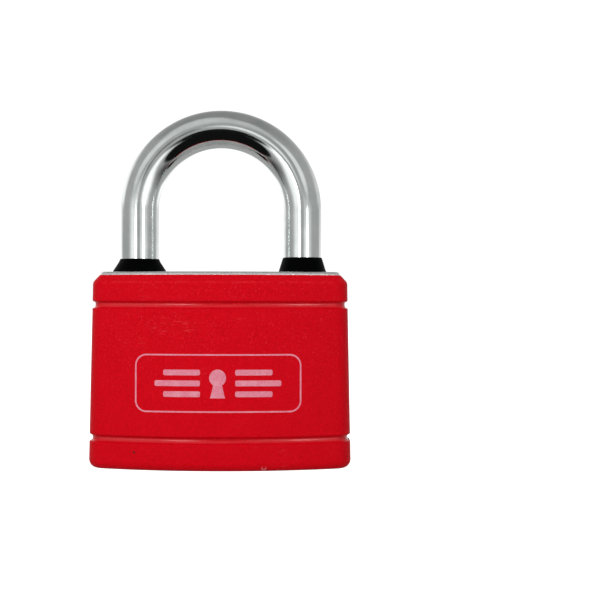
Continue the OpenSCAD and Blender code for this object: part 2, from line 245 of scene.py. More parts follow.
def drill(obj, cutters):
    """Cuts closed solids out of obj and deletes them."""
    for cutter in cutters:
        cut = obj.modifiers.new("cut", "BOOLEAN")
        cut.operation = "DIFFERENCE"
        cut.solver = "EXACT"
        cut.object = cutter
    bake_modifiers(obj)
    for cutter in cutters:
        bpy.data.objects.remove(cutter)


def bake_modifiers(obj, smooth_deg=35.0):
    """Makes an object's modifiers part of its mesh."""
    graph = bpy.context.evaluated_depsgraph_get()
    mesh = bpy.data.meshes.new_from_object(obj.evaluated_get(graph))
    obj.modifiers.clear()
    old = obj.data
    obj.data = mesh
    bpy.data.meshes.remove(old)
    mesh.name = obj.name
    mesh.shade_smooth()
    mesh.set_sharp_from_angle(angle=math.radians(smooth_deg))


def tube(name, path, radius, sides, smooth_deg=60.0):
    """A round wire of constant radius along a path of points, with flat ends."""
    path = np.asarray(path, float)
    tangent = np.gradient(path, axis=0)
    tangent /= np.linalg.norm(tangent, axis=1)[:, None]
    up = Vector(tangent[0]).orthogonal().normalized()
    a = np.linspace(0, 2 * math.pi, sides, endpoint=False)
    rings = []
    for point, direction in zip(path, tangent):
        direction = Vector(direction)
        up = (up - direction * up.dot(direction)).normalized()
        side = direction.cross(up)
        rings.append(point + radius * (np.outer(np.cos(a), up) + np.outer(np.sin(a), side)))
    verts, faces = lofted(rings)
    return solid(name, verts, faces, smooth_deg)


# ---------------------------------------------------------------- material helpers

class Nodes:
    """Short hand for building one material's node tree."""

    def __init__(self, name):
        self.material = bpy.data.materials.new(name)
        self.material.use_nodes = True
        self.tree = self.material.node_tree
        self.tree.nodes.clear()
        self.out = self.add("ShaderNodeOutputMaterial")
        self.shader = self.add("ShaderNodeBsdfPrincipled")
        self.link(self.shader.outputs[0], self.out.inputs[0])
        self.coord = self.add("ShaderNodeTexCoord").outputs["Object"]

    def add(self, kind, **settings):
        node = self.tree.nodes.new(kind)
        for key, value in settings.items():
            setattr(node, key, value)
        return node

    def link(self, a, b):
        self.tree.links.new(a, b)

    def set(self, **values):
        for key, value in values.items():
            self.shader.inputs[key.replace("_", " ")].default_value = value

    def stretched(self, x, y, z):
        """The object's coordinates scaled differently along each axis."""
        mapping = self.add("ShaderNodeMapping")
        mapping.inputs["Scale"].default_value = (x, y, z)
        self.link(self.coord, mapping.inputs["Vector"])
        return mapping.outputs[0]

    def noise(self, size_mm, detail=3.0, rough=0.55, vector=None):
        """Noise whose features measure about size_mm."""
        node = self.add("ShaderNodeTexNoise")
        node.inputs["Scale"].default_value = 1000.0 / size_mm
        node.inputs["Detail"].default_value = detail
        node.inputs["Roughness"].default_value = rough
        self.link(vector or self.coord, node.inputs["Vector"])
        return node.outputs["Fac"]

    def cells(self, size_mm, vector=None):
        """Distance to the nearest of many scattered points, about size_mm apart."""
        node = self.add("ShaderNodeTexVoronoi")
        node.inputs["Scale"].default_value = 1000.0 / size_mm
        self.link(vector or self.coord, node.inputs["Vector"])
        return node.outputs["Distance"]

    def ramp(self, value, low, high, to_low=0.0, to_high=1.0):
        """value mapped from low..high to to_low..to_high, smoothly and clamped."""
        node = self.add("ShaderNodeMapRange", interpolation_type="SMOOTHSTEP")
        node.inputs["From Min"].default_value = low
        node.inputs["From Max"].default_value = high
        node.inputs["To Min"].default_value = to_low
        node.inputs["To Max"].default_value = to_high
        self.link(value, node.inputs["Value"])
        return node.outputs[0]

    def math(self, operation, a, b=0.0):
        """One arithmetic step on sockets or numbers."""
        node = self.add("ShaderNodeMath", operation=operation)
        for socket, value in zip(node.inputs, (a, b)):
            if isinstance(value, (int, float)):
                socket.default_value = value
            else:
                self.link(value, socket)
        return node.outputs[0]

    def mix(self, factor, a, b):
        """Blends two colours, each a socket or a tuple."""
        node = self.add("ShaderNodeMix", data_type="RGBA")
        for socket, value in ((node.inputs[0], factor), (node.inputs[6], a), (node.inputs[7], b)):
            if isinstance(value, tuple):
                socket.default_value = (*value, 1.0)
            elif isinstance(value, (int, float)):
                socket.default_value = value
            else:
                self.link(value, socket)
        return node.outputs[2]

    def spot(self, centre, size):
        """1 round a place in mm, falling to 0 at size (x, y, z) mm away from it."""
        place = self.add("ShaderNodeMapping", vector_type="TEXTURE")
        place.inputs["Location"].default_value = [c * MM for c in centre]
        place.inputs["Scale"].default_value = [s * MM for s in size]
        self.link(self.coord, place.inputs["Vector"])
        away = self.add("ShaderNodeVectorMath", operation="LENGTH")
        self.link(place.outputs[0], away.inputs[0])
        return self.ramp(away.outputs["Value"], 1.0, 0.6)

    def axes(self):
        """The object's own X, Y and Z."""
        split = self.add("ShaderNodeSeparateXYZ")
        self.link(self.coord, split.inputs[0])
        return split.outputs

    def band(self, z, half, soft):
        """1 between the heights z - half and z + half in mm, with soft edges."""
        away = self.math("ABSOLUTE", self.math("SUBTRACT", self.axes()["Z"], z * MM))
        return self.ramp(away, (half + soft) * MM, half * MM)

    def rising(self, z0, z1, to_low, to_high):
        """to_low below the height z0 in mm, to_high above z1."""
        return self.ramp(self.axes()["Z"], z0 * MM, z1 * MM, to_low, to_high)

    def along_rod(self, stretch):
        """Coordinates that run with the bent rod: distance from the middle of the arch, depth,
        and height shrunk by stretch, so that noise becomes marks along the rod."""
        x, y, z = self.axes()
        above = self.math("MAXIMUM", self.math("SUBTRACT", z, ARCH_Z * MM), 0.0)
        squares = self.math("ADD", self.math("POWER", above, 2.0), self.math("POWER", x, 2.0))
        swept = self.add("ShaderNodeCombineXYZ")
        self.link(self.math("SQRT", squares), swept.inputs[0])
        self.link(y, swept.inputs[1])
        self.link(self.math("MULTIPLY", z, stretch), swept.inputs[2])
        return swept.outputs[0]

    def color(self, value):
        self.link(value, self.shader.inputs["Base Color"])

    def roughness(self, value):
        self.link(value, self.shader.inputs["Roughness"])

    def bumps(self, *layers):
        """Stacks (height, depth_mm) layers into the shader's normal."""
        normal = None
        for height, depth_mm in layers:
            node = self.add("ShaderNodeBump")
            node.inputs["Strength"].default_value = 1.0
            node.inputs["Distance"].default_value = depth_mm * MM
            self.link(height, node.inputs["Height"])
            if normal is not None:
                self.link(normal, node.inputs["Normal"])
            normal = node.outputs[0]
        self.link(normal, self.shader.inputs["Normal"])


# ---------------------------------------------------------------- materials

def jacket_plastic():
    """Moulded red thermoplastic: fine grain, faint speckle with painted sparkle thickening towards the
    top, a painted highlight along the bevel's lower edge, a few scuffs, glossy grooves.
    """
    m = Nodes("jacket_plastic")
    grain = m.noise(0.26, 2.0)
    flecks = m.noise(0.45, 2.0, 0.6)
    speckle_and_sparkle = m.ramp(m.noise(0.5, 1.0), 0.60, 0.78)
    scuff_line = m.ramp(m.noise(0.5, 4.0, 0.7, m.stretched(0.12, 1.0, 1.6)), 0.56, 0.72)
    scuff_place = m.ramp(m.noise(14.0, 2.0), 0.60, 0.76)
    front_patch = m.spot((-13.0, -HALF_D, 43.5), (14.0, 6.0, 4.0))
    scuff = m.math("MULTIPLY", m.math("MAXIMUM", scuff_place, front_patch), scuff_line)
    grooves = m.math("ADD", *[m.band(z, GROOVE_W / 2 - 0.3, 0.2) for z in GROOVE_Z])
    polish = m.math("MULTIPLY", grooves, 0.8)
    base = m.mix(m.ramp(flecks, 0.34, 0.66), (0.530, 0.0007, 0.0066), (0.650, 0.0014, 0.0090))
    base = m.mix(m.ramp(m.noise(7.0, 2.0), 0.3, 0.7, 0.0, 0.25), base, (0.64, 0.0020, 0.0100))
    # Pale specks, more of them towards the top: real speckle plus painted sparkle where the light from
    # above falls
    base = m.mix(m.math("MULTIPLY", speckle_and_sparkle, m.rising(15.0, 45.0, 0.25, 0.75)), base, (0.74, 0.020, 0.040))
    base = m.mix(m.math("MULTIPLY", scuff, 0.30), base, (0.80, 0.16, 0.18))
    # The bevel's lower edge carries a faint pale line, a painted highlight broken up by noise; a sprue
    # mark and a speck of dirt sit by the base
    highlight_breakup = m.ramp(m.noise(1.6, 3.0), 0.35, 0.6)
    edge = m.math("MULTIPLY", m.band(JACKET_H - BEVEL_H, 0.1, 0.35), highlight_breakup)
    base = m.mix(m.math("MULTIPLY", edge, 0.05), base, (0.80, 0.16, 0.18))
    whole_mark = m.spot((13.7, -HALF_D, 0.9), (1.1, 3.0, 1.0))
    mark = m.math("SUBTRACT", whole_mark, m.spot((13.7, -HALF_D, 1.2), (0.7, 3.0, 0.7)))
    base = m.mix(m.math("MULTIPLY", m.math("MAXIMUM", mark, 0.0), 0.7), base, (0.80, 0.35, 0.36))
    base = m.mix(m.spot((-25.0, -14.0, 5.5), (0.55, 6.0, 0.45)), base, (0.20, 0.010, 0.012))
    m.color(base)
    m.roughness(m.math("ADD", m.ramp(grain, 0.3, 0.7, 0.42, 0.54), m.math("MULTIPLY", scuff, 0.15)))
    m.bumps((grain, 0.026), (m.noise(0.8, 2.0), 0.016))
    m.link(polish, m.shader.inputs["Coat Weight"])
    m.set(Specular_IOR_Level=0.045, Coat_Roughness=0.16, Coat_IOR=1.5)
    return m.material


def emblem_print():
    """Laser marked plastic: a pale pink froth with the red showing through."""
    m = Nodes("emblem_print")
    fine = m.noise(0.35, 3.0)
    patch = m.noise(2.4, 2.0)
    base = m.mix(m.ramp(fine, 0.35, 0.75), (0.74, 0.27, 0.35), (0.66, 0.15, 0.22))
    base = m.mix(m.math("MULTIPLY", m.ramp(patch, 0.45, 0.7), 0.5), base, (0.78, 0.36, 0.42))
    m.color(base)
    m.roughness(m.ramp(fine, 0.3, 0.7, 0.55, 0.7))
    m.bumps((fine, 0.02))
    m.set(Specular_IOR_Level=0.2)
    return m.material


def plated_iron():
    """Zinc plated casting: bright metal over a coarse, pitted skin."""
    m = Nodes("plated_iron")
    pits = m.cells(0.55)
    coarse = m.noise(0.6, 4.0, 0.7)
    mottle = m.noise(3.0, 3.0)
    base = m.mix(m.ramp(mottle, 0.3, 0.7), (0.88, 0.88, 0.87), (0.97, 0.97, 0.96))
    base = m.mix(m.math("MULTIPLY", m.ramp(coarse, 0.59, 0.67), 0.70), base, (0.20, 0.19, 0.18))
    m.color(base)
    m.roughness(m.ramp(coarse, 0.35, 0.7, 0.24, 0.55))
    m.bumps((coarse, 0.12), (pits, 0.06), (m.noise(5.0, 2.0), 0.05))
    m.set(Metallic=1.0)
    return m.material


def plated_rod():
    """Bright plated steel rod: hairline draw marks along its bend, a little haze and waviness."""
    m = Nodes("plated_rod")
    haze = m.noise(5.0, 3.0)
    fine = m.noise(0.18, 2.0)
    marks = m.noise(0.35, 3.0, 0.65, m.along_rod(0.06))
    wear = m.ramp(m.noise(1.3, 4.0, 0.7), 0.66, 0.78)
    base = m.mix(m.ramp(haze, 0.3, 0.7), (0.73, 0.775, 0.765), (0.83, 0.86, 0.85))
    base = m.mix(m.math("MULTIPLY", wear, 0.25), base, (0.55, 0.57, 0.58))
    m.color(base)
    m.roughness(m.math("ADD", m.ramp(haze, 0.3, 0.7, 0.04, 0.09), m.math("MULTIPLY", wear, 0.12)))
    m.bumps((fine, 0.0020), (marks, 0.0070), (m.noise(7.0, 1.0), 0.02))
    m.set(Metallic=1.0)
    return m.material


def seal_rubber():
    """Black moulded rubber with dust in its grain."""
    m = Nodes("seal_rubber")
    grain = m.noise(0.3, 3.0)
    dust = m.ramp(m.noise(0.8, 4.0, 0.7), 0.66, 0.8)
    m.color(m.mix(m.math("MULTIPLY", dust, 0.4), (0.0005, 0.0007, 0.0006), (0.006, 0.006, 0.006)))
    m.roughness(m.ramp(grain, 0.3, 0.7, 0.42, 0.6))
    m.bumps((grain, 0.02), (m.noise(2.5, 2.0), 0.03))
    m.set(Specular_IOR_Level=0.025)
    return m.material


# Radians that a wave texture runs through in one unit of its coordinates
WAVE_RATE = 20.0


def turned_metal(name, light, dark, rough, ring_mm, axis):
    """Turned metal: tool rings ring_mm apart about an axis through (x, y) in mm, and tarnish."""
    m = Nodes(name)
    place = m.add("ShaderNodeMapping", vector_type="POINT")
    place.inputs["Location"].default_value = (-axis[0] * MM, -axis[1] * MM, 0.0)
    m.link(m.coord, place.inputs["Vector"])
    rings = m.add("ShaderNodeTexWave", wave_type="RINGS", rings_direction="Z")
    rings.inputs["Scale"].default_value = 2 * math.pi / (ring_mm * MM * WAVE_RATE)
    rings.inputs["Distortion"].default_value = 0.6
    m.link(place.outputs[0], rings.inputs["Vector"])
    tarnish = m.noise(2.2, 4.0, 0.6)
    fine = m.noise(0.25, 2.0)
    m.color(m.mix(m.ramp(tarnish, 0.35, 0.72), light, dark))
    m.roughness(m.ramp(tarnish, 0.3, 0.75, rough, rough + 0.16))
    m.bumps((rings.outputs["Fac"], 0.008), (fine, 0.006))
    m.set(Metallic=1.0)
    return m.material


def plain_steel(name, light, dark, rough):
    """Hardened steel: light scratches, oil haze, small stains."""
    m = Nodes(name)
    scratch = m.noise(0.3, 3.0, 0.6, m.stretched(0.15, 1.0, 1.0))
    stain = m.noise(1.8, 4.0, 0.65)
    m.color(m.mix(m.ramp(stain, 0.4, 0.75), light, dark))
    m.roughness(m.ramp(stain, 0.3, 0.7, rough, rough + 0.15))
    m.bumps((scratch, 0.006), (m.noise(0.2, 2.0), 0.004))
    m.set(Metallic=1.0)
    return m.material


# ---------------------------------------------------------------- pieces

def ripple(points, depth, size, seed):
    """Shifts points towards the axis by up to depth, by smooth noise of the given size."""
    moved = points.copy()
    for i, p in enumerate(points):
        n = noise.noise(Vector((p[0] / size + seed, p[1] / size, p[2] / size)))
        shift = depth * (0.5 + 0.5 * n)
        # Front and back, the large walls, sink in depth rather than towards the middle
        flat = Vector((p[0] * 0.25, p[1], 0.0)).normalized()
        moved[i, 0] -= flat.x * shift
        moved[i, 1] -= flat.y * shift
    return moved


def make_jacket():
    """The moulded jacket: outer skin, rim, pocket and floor as one closed sheet of quads."""
    low, high = GROOVE_Z
    reach = GROOVE_W / 2 + 0.25
    outer = rounded(BASE_ROUND, 0.0, True)
    outer += straight(BASE_ROUND, low - reach, 5) + groove(low)
    outer += straight(low + reach, high - reach, 34) + groove(high)
    bevel_z = JACKET_H - BEVEL_H
    under_bevel_z = bevel_z - 1.2
    outer += straight(high + reach, under_bevel_z, 4)
    outer += softened([(under_bevel_z, 0.0), (bevel_z, 0.0), (JACKET_H, BEVEL_W)], 0.75, 8)
    rings = [outline_ring(z, inset + lean_at(z)) for z, inset in outer]
    # The walls have sunk a little, as moulded ones do, but not the base or the bevel
    for k in range(4, len(rings) - 8):
        rings[k] = ripple(rings[k], depth=0.015, size=13.0, seed=4.0)
    pocket = IRON_INSET - JACKET_GAP
    for z, inset in ((JACKET_H, pocket - 0.05), (JACKET_H - 0.1, pocket)):
        rings.append(outline_ring(z, inset))
    for z in np.linspace(JACKET_H - 3, FLOOR_T + 0.01, 8):
        rings.append(outline_ring(z, pocket))
    floor_top = spread_to_hole(FLOOR_T, pocket, 4)
    rings += floor_top[1:]
    edge = 0.3
    for r, z in ((COVER_HOLE_R, FLOOR_T), (COVER_HOLE_R, edge), (COVER_HOLE_R + edge / 3, edge / 3),
                 (COVER_HOLE_R + edge, 0.0)):
        rings.append(hole_ring(r, z))
    rings += spread_to_hole(0.0, BASE_ROUND, 5)[::-1][1:-1]
    verts, faces = lofted(rings, closed=True)
    return solid("jacket", verts, faces, 40.0)


def hole_ring(radius, z):
    """A circle about the housing whose points lie in line with those of the outline."""
    points = outline(0.0) - (HOUSING_X, 0.0)
    points *= radius / np.linalg.norm(points, axis=1)[:, None]
    return np.column_stack([points + (HOUSING_X, 0.0), np.full(len(points), z)])


def spread_to_hole(z, inset, steps):
    """Rings across a flat floor, from the outline inwards to the edge of the round hole."""
    outside = outline_ring(z, inset)
    inside = hole_ring(COVER_HOLE_R + 0.3, z)
    return [outside + (inside - outside) * t for t in np.linspace(0, 1, steps + 1)]


def front_y(x, z, lift=0.0):
    """Y of the jacket's front face at x and z, moved outwards by lift."""
    radius = FACE_R - lean_at(z) + lift
    return -(HALF_D - FACE_R + math.sqrt(radius ** 2 - x ** 2))


def front_inlay(name, loops_outer, loops_inner=None, proud=0.02, deep=0.10):
    """A thin plate that follows the front face. Outer and inner loops of (x, z) points have
    equally many points; with no inner loop the plate is closed by a fan to its centre."""
    outer = np.asarray(loops_outer, float)
    if loops_inner is None:
        inner = outer.mean(0) + (outer - outer.mean(0)) * 0.02
    else:
        inner = np.asarray(loops_inner, float)
    steps = 1 if loops_inner is not None else 6
    flat = [outer + (inner - outer) * t for t in np.linspace(0, 1, steps + 1)]
    face = [np.array([(x, front_y(x, z, proud), z) for x, z in ring]) for ring in flat]
    back = [np.array([(x, front_y(x, z, -deep), z) for x, z in ring]) for ring in flat[::-1]]
    verts, faces = lofted(face + back, closed=loops_inner is not None)
    return solid(name, verts, faces)


def round_rect_loop(w, h, r, cx, cz, steps=10, edge=40):
    """Points round a rectangle with round corners, in the (x, z) plane."""
    loop = []
    quarter = math.pi / 2
    for k, (sx, sz) in enumerate(((1, 1), (-1, 1), (-1, -1), (1, -1))):
        corner_x = cx + sx * (w / 2 - r)
        corner_z = cz + sz * (h / 2 - r)
        loop.append(arc_points(corner_x, corner_z, r, k * quarter, (k + 1) * quarter, steps))
    dense = []
    for k in range(4):
        dense.append(loop[k])
        a = loop[k][-1]
        b = loop[(k + 1) % 4][0]
        t = np.linspace(0, 1, edge + 1)[1:-1, None]
        dense.append(a + (b - a) * t)
    return np.concatenate(dense)


# Emblem on the front: its outline, the keyhole in the middle and the bars at both sides
EMBLEM_W = 49.5
EMBLEM_H = 17.3
EMBLEM_R = 3.4
EMBLEM_Z = 26.2
EMBLEM_LINE = 0.45
KEYHOLE_R = 2.5
KEYHOLE_RISE = 1.6
KEYHOLE_NECK_DEG = 62
KEYHOLE_FOOT_HALF_W = 2.2
KEYHOLE_FOOT_DROP = 4.4
BAR_START = 5.2
BAR_LENGTHS = (11.0, 13.6, 11.0)
BAR_H = 1.7
BAR_PITCH = 3.2


def make_emblem():
    """A plain rounded outline on the front, with a keyhole and bars inside it."""
    line = EMBLEM_LINE
    pieces = [front_inlay(
        "emblem_outline",
        round_rect_loop(EMBLEM_W, EMBLEM_H, EMBLEM_R, 0, EMBLEM_Z),
        round_rect_loop(EMBLEM_W - 2 * line, EMBLEM_H - 2 * line, EMBLEM_R - line, 0, EMBLEM_Z))]
    half_neck = math.radians(KEYHOLE_NECK_DEG) / 2
    down = -math.pi / 2
    bow_z = EMBLEM_Z + KEYHOLE_RISE
    bow = arc_points(0, bow_z, KEYHOLE_R, down + half_neck, down + 2 * math.pi - half_neck, 60)
    foot_z = EMBLEM_Z - KEYHOLE_FOOT_DROP
    foot = np.array([(-KEYHOLE_FOOT_HALF_W, foot_z), (KEYHOLE_FOOT_HALF_W, foot_z)])
    pieces.append(front_inlay("emblem_keyhole", np.concatenate([bow, foot])))
    for side, word in ((-1, "left"), (1, "right")):
        for k, reach in enumerate(BAR_LENGTHS):
            z = EMBLEM_Z + (1 - k) * BAR_PITCH
            x = side * (BAR_START + reach / 2)
            loop = round_rect_loop(reach, BAR_H, 0.5, x, z, 4, 8)
            pieces.append(front_inlay(f"emblem_bar_{word}_{k + 1}", loop))
    return pieces


def make_iron():
    """The cast body with its rounded edges, drilled for legs, cylinder, cam and bolts."""
    z0, z1 = IRON_LOW[2], IRON_HIGH[2]
    levels = rounded(IRON_ROUND, z0, True) + straight(z0 + IRON_ROUND, z1 - IRON_ROUND, 6)
    levels += rounded(IRON_ROUND, z1, False)
    verts, faces = lofted([outline_ring(z, IRON_INSET + inset) for z, inset in levels])
    iron = solid("iron_body", verts, faces)
    spring_low = box_mm("shackle_spring")[0][2] - 0.1
    beyond = 5.0
    cutters = [
        cylinder_cutter(HOLE_R, (LEG_X, 0, TOE_HOLE_Z), (LEG_X, 0, z1 + beyond)),
        cylinder_cutter(HOLE_R, (-LEG_X, 0, spring_low), (-LEG_X, 0, z1 + beyond)),
        cylinder_cutter(SEAT_R, (LEG_X, 0, z1 - SEAT_H), (LEG_X, 0, z1 + beyond + 1)),
        cylinder_cutter(SEAT_R, (-LEG_X, 0, z1 - SEAT_H), (-LEG_X, 0, z1 + beyond + 1)),
        cylinder_cutter(HOUSING_BORE_R, (HOUSING_X, 0, z0 - beyond), (HOUSING_X, 0, HOUSING_BORE_Z)),
        cylinder_cutter(CAM_CAVITY_R, (0, 0, HOUSING_BORE_Z - 0.1), (0, 0, BOLT_Z - 1)),
        cylinder_cutter(BOLT_BORE_R, (-LEG_X, 0, BOLT_Z), (HALF_W + beyond, 0, BOLT_Z)),
    ]
    drill(iron, cutters)
    return iron


def make_shackle():
    """The bent rod as one swept tube: rounded tips, notches for the bolts, heel's neck."""
    sides = 96
    a = np.linspace(0, 2 * math.pi, sides, endpoint=False)
    out, across = np.cos(a), np.sin(a)
    neck_r = 4.05
    neck_z0 = 20.3
    neck_z1 = 43.7
    notch_z0 = 46.55
    notch_z1 = 56.3
    notch_x = LEG_X - ROD_R + 1.45
    plain_z0 = 57.0
    plain_z1 = ARCH_Z - 0.5
    tip_steps = rounded(1.0, 0.0, True, 8)

    def leg_ring(side, z, radius, notched=False):
        x = side * LEG_X + radius * out * side
        if notched:
            x = side * np.maximum(side * x, notch_x)
        return np.column_stack([x, radius * across * side, np.full(sides, z)])

    def notch_rings(side):
        rings = [leg_ring(side, notch_z0, ROD_R)]
        rings += [leg_ring(side, z, ROD_R, True) for z in np.linspace(notch_z0, notch_z1, 8)]
        return rings + [leg_ring(side, notch_z1, ROD_R)]

    heel = [leg_ring(-1, HEEL_END_Z + h, ROD_R - inset) for h, inset in tip_steps]
    heel += [leg_ring(-1, z, r) for z, r in (
        (neck_z0 - 0.2, ROD_R), (neck_z0, ROD_R - 0.2), (neck_z0, neck_r), (neck_z1, neck_r),
        (neck_z1 + ROD_R - neck_r, ROD_R))]
    heel += notch_rings(-1)
    heel += [leg_ring(-1, z, ROD_R) for z in np.linspace(plain_z0, plain_z1, 18)]
    arch = []
    for t in np.linspace(math.pi, 0, 150):
        centre = np.array([LEG_X * math.cos(t), 0, ARCH_Z + LEG_X * math.sin(t)])
        radial = np.array([math.cos(t), 0, math.sin(t)])
        arch.append(centre + ROD_R * (np.outer(out, radial) - np.outer(across, (0, 1, 0))))
    toe = [leg_ring(1, z, ROD_R) for z in np.linspace(plain_z1, plain_z0, 18)]
    toe += notch_rings(1)[::-1]
    toe += [leg_ring(1, TOE_END_Z + h, ROD_R - inset) for h, inset in tip_steps[::-1]]
    toe = [ring * (1, -1, 1) for ring in toe]
    verts, faces = lofted(heel + arch + toe)
    return solid("shackle_rod", verts, faces, 40.0)


def make_seal(name, side, radius, height, shoulder_r, shoulder_h):
    """A rubber collar round a leg: a cone that closes on the leg over a soft shoulder."""
    z0 = IRON_HIGH[2]
    in_r = ROD_R + 0.05
    lip_r = ROD_R + 0.2
    inside = [(in_r, height - 0.1), (in_r, -SEAT_H + 0.1), (in_r + 0.1, -SEAT_H)]
    seat = [(SEAT_R - 0.25, -SEAT_H), (SEAT_R, -SEAT_H + 0.25), (SEAT_R, 0.0)]
    cone = softened([(radius - 0.3, 0.0), (radius, 0.0), (radius - 0.12, 0.35)], 0.15, 4)
    shoulder = [(radius - 0.2, 0.5), (shoulder_r, shoulder_h), (lip_r, height), (in_r, height)]
    cone += softened(shoulder, 0.28, 7)
    rings = [circle_ring(r, z0 + h, 120, side * LEG_X) for r, h in inside + seat + cone]
    verts, faces = lofted(rings, closed=True)
    return solid(name, verts, faces, 50.0)


def coil_path(length, mean_r, wire_r, turns, closed_turns=1.0, per_turn=28):
    """Centre line of a compression spring along +Z, its end turns wound close."""
    count = int(turns * per_turn)
    t = np.linspace(0, turns, count + 1)
    close = 2.05 * wire_r
    pitch = (length - 2 * wire_r - 2 * closed_turns * close) / (turns - 2 * closed_turns)
    z = np.where(
        t < closed_turns, t * close,
        np.where(t > turns - closed_turns,
                 length - 2 * wire_r - (turns - t) * close,
                 closed_turns * close + (t - closed_turns) * pitch))
    a = 2 * math.pi * t
    return np.stack([mean_r * np.cos(a), mean_r * np.sin(a), z + wire_r], 1)


def make_spring(name, node, along, mean_r, wire_r, turns, sides=10):
    """A coil that fills the box of a CAD spring, along its X or Z axis."""
    low, high = box_mm(node)
    middle = (low + high) / 2
    axis = 0 if along == "x" else 2
    path = coil_path(high[axis] - low[axis], mean_r, wire_r, turns)
    if along == "x":
        path = path[:, [2, 1, 0]]
    start = middle.copy()
    start[axis] = low[axis]
    return tube(name, path + start, wire_r, sides)


# ---------------------------------------------------------------- build the pieces

nodes = frame["nodes"]
materials = {
    "red_jacket": jacket_plastic(),
    "body_iron": plated_iron(),
    "shackle_steel": plated_rod(),
    "seal_rubber": seal_rubber(),
    "cylinder_brass": turned_metal(
        "housing_brass", (0.80, 0.60, 0.27), (0.56, 0.38, 0.15), 0.22, 1.57, (HOUSING_X, 0)),
    "plug_brass": turned_metal(
        "plug_brass", (0.86, 0.68, 0.35), (0.62, 0.44, 0.19), 0.18, 1.257, (0, 0)),
    "pin_brass": turned_metal(
        "pin_brass", (0.83, 0.64, 0.31), (0.60, 0.42, 0.18), 0.20, 0.942, (0, 0)),
    "bolt_steel": plain_steel("bolt_steel", (0.62, 0.63, 0.65), (0.34, 0.34, 0.35), 0.25),
    "spring_steel": plain_steel("spring_wire", (0.70, 0.71, 0.73), (0.42, 0.42, 0.43), 0.2),
}


def place(piece, body, slot, replaced=None, material=None, stretched_to=None):
    """Gives a piece the material of its slot, puts it on its body and hides the CAD node it replaces.
    With stretched_to the piece is only baked in place and put on no body; the other body, start and end in
    stretched_to are not used."""
    piece.data.materials.clear()
    piece.data.materials.append(material or materials[slot])
    if stretched_to:
        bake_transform(piece)
    else:
        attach(piece, body)
    if replaced:
        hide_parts(replaced)


place(make_jacket(), "case", "red_jacket", "cover")
emblem_material = emblem_print()
for mark in make_emblem():
    place(mark, "case", "red_jacket", material=emblem_material)
place(make_iron(), "case", "body_iron", "lock_body")
place(make_shackle(), "shackle", "shackle_steel", "shackle")
heel_collar = make_seal("heel_collar", -1, radius=8.2, height=4.0, shoulder_r=6.25, shoulder_h=3.2)
place(heel_collar, "case", "seal_rubber", "heel_seal")
toe_collar = make_seal("toe_collar", 1, radius=7.4, height=4.5, shoulder_r=6.45, shoulder_h=2.95)
place(toe_collar, "case", "seal_rubber", "toe_seal")
# The shackle's lift spring is baked in place where it stands; the bolts' spring and the pin springs ride
# on the case
lift_low, lift_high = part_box("shackle_spring")
lift_foot = (-LEG_X * MM, 0, lift_low[2])
lift_top = (-LEG_X * MM, 0, lift_high[2])
heel_lift_spring = make_spring("heel_lift_spring", "shackle_spring", "z", mean_r=4.4, wire_r=0.45, turns=7)
place(heel_lift_spring, "case", "spring_steel", "shackle_spring",
      stretched_to=("shackle", lift_foot, lift_top))
bolt_push_spring = make_spring("bolt_push_spring", "bolt_spring", "x", mean_r=1.3, wire_r=0.22, turns=24)
place(bolt_push_spring, "case", "spring_steel", "bolt_spring")
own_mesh(bolt_push_spring)
for number in range(1, 6):
    node = f"pin_spring_{number}"
    spring = make_spring(f"chamber_spring_{number}", node, "x", mean_r=1.1, wire_r=0.17, turns=5)
    place(spring, "case", "spring_steel", node)

slots = {part["node"]: part["material_slot"] for part in frame["record"]["subparts"]}
for name, obj in nodes.items():
    for holder in obj.material_slots:
        holder.material = materials[slots[name]]


# ---------------------------------------------------------------- stage, light, camera

def make_floor():
    """A wide pale floor. Reflections look past it into the studio's own surroundings."""
    reach = 6000.0
    verts, faces = lofted([circle_ring(reach, 0.0, 64), circle_ring(reach, -1.0, 64)])
    floor = solid("floor", verts, [f[::-1] for f in faces])
    m = Nodes("floor_pale")
    diffuse = m.add("ShaderNodeBsdfDiffuse")
    m.link(m.mix(m.noise(40.0), (0.80, 0.80, 0.80), (0.82, 0.82, 0.82)), diffuse.inputs["Color"])
    glow = m.add("ShaderNodeEmission")
    path = m.add("ShaderNodeLightPath")
    m.link(path.outputs["Is Camera Ray"], glow.inputs["Strength"])
    both = m.add("ShaderNodeAddShader")
    m.link(diffuse.outputs[0], both.inputs[0])
    m.link(glow.outputs[0], both.inputs[1])
    m.link(both.outputs[0], m.out.inputs[0])
    floor.data.materials.append(m.material)
    floor.visible_glossy = False


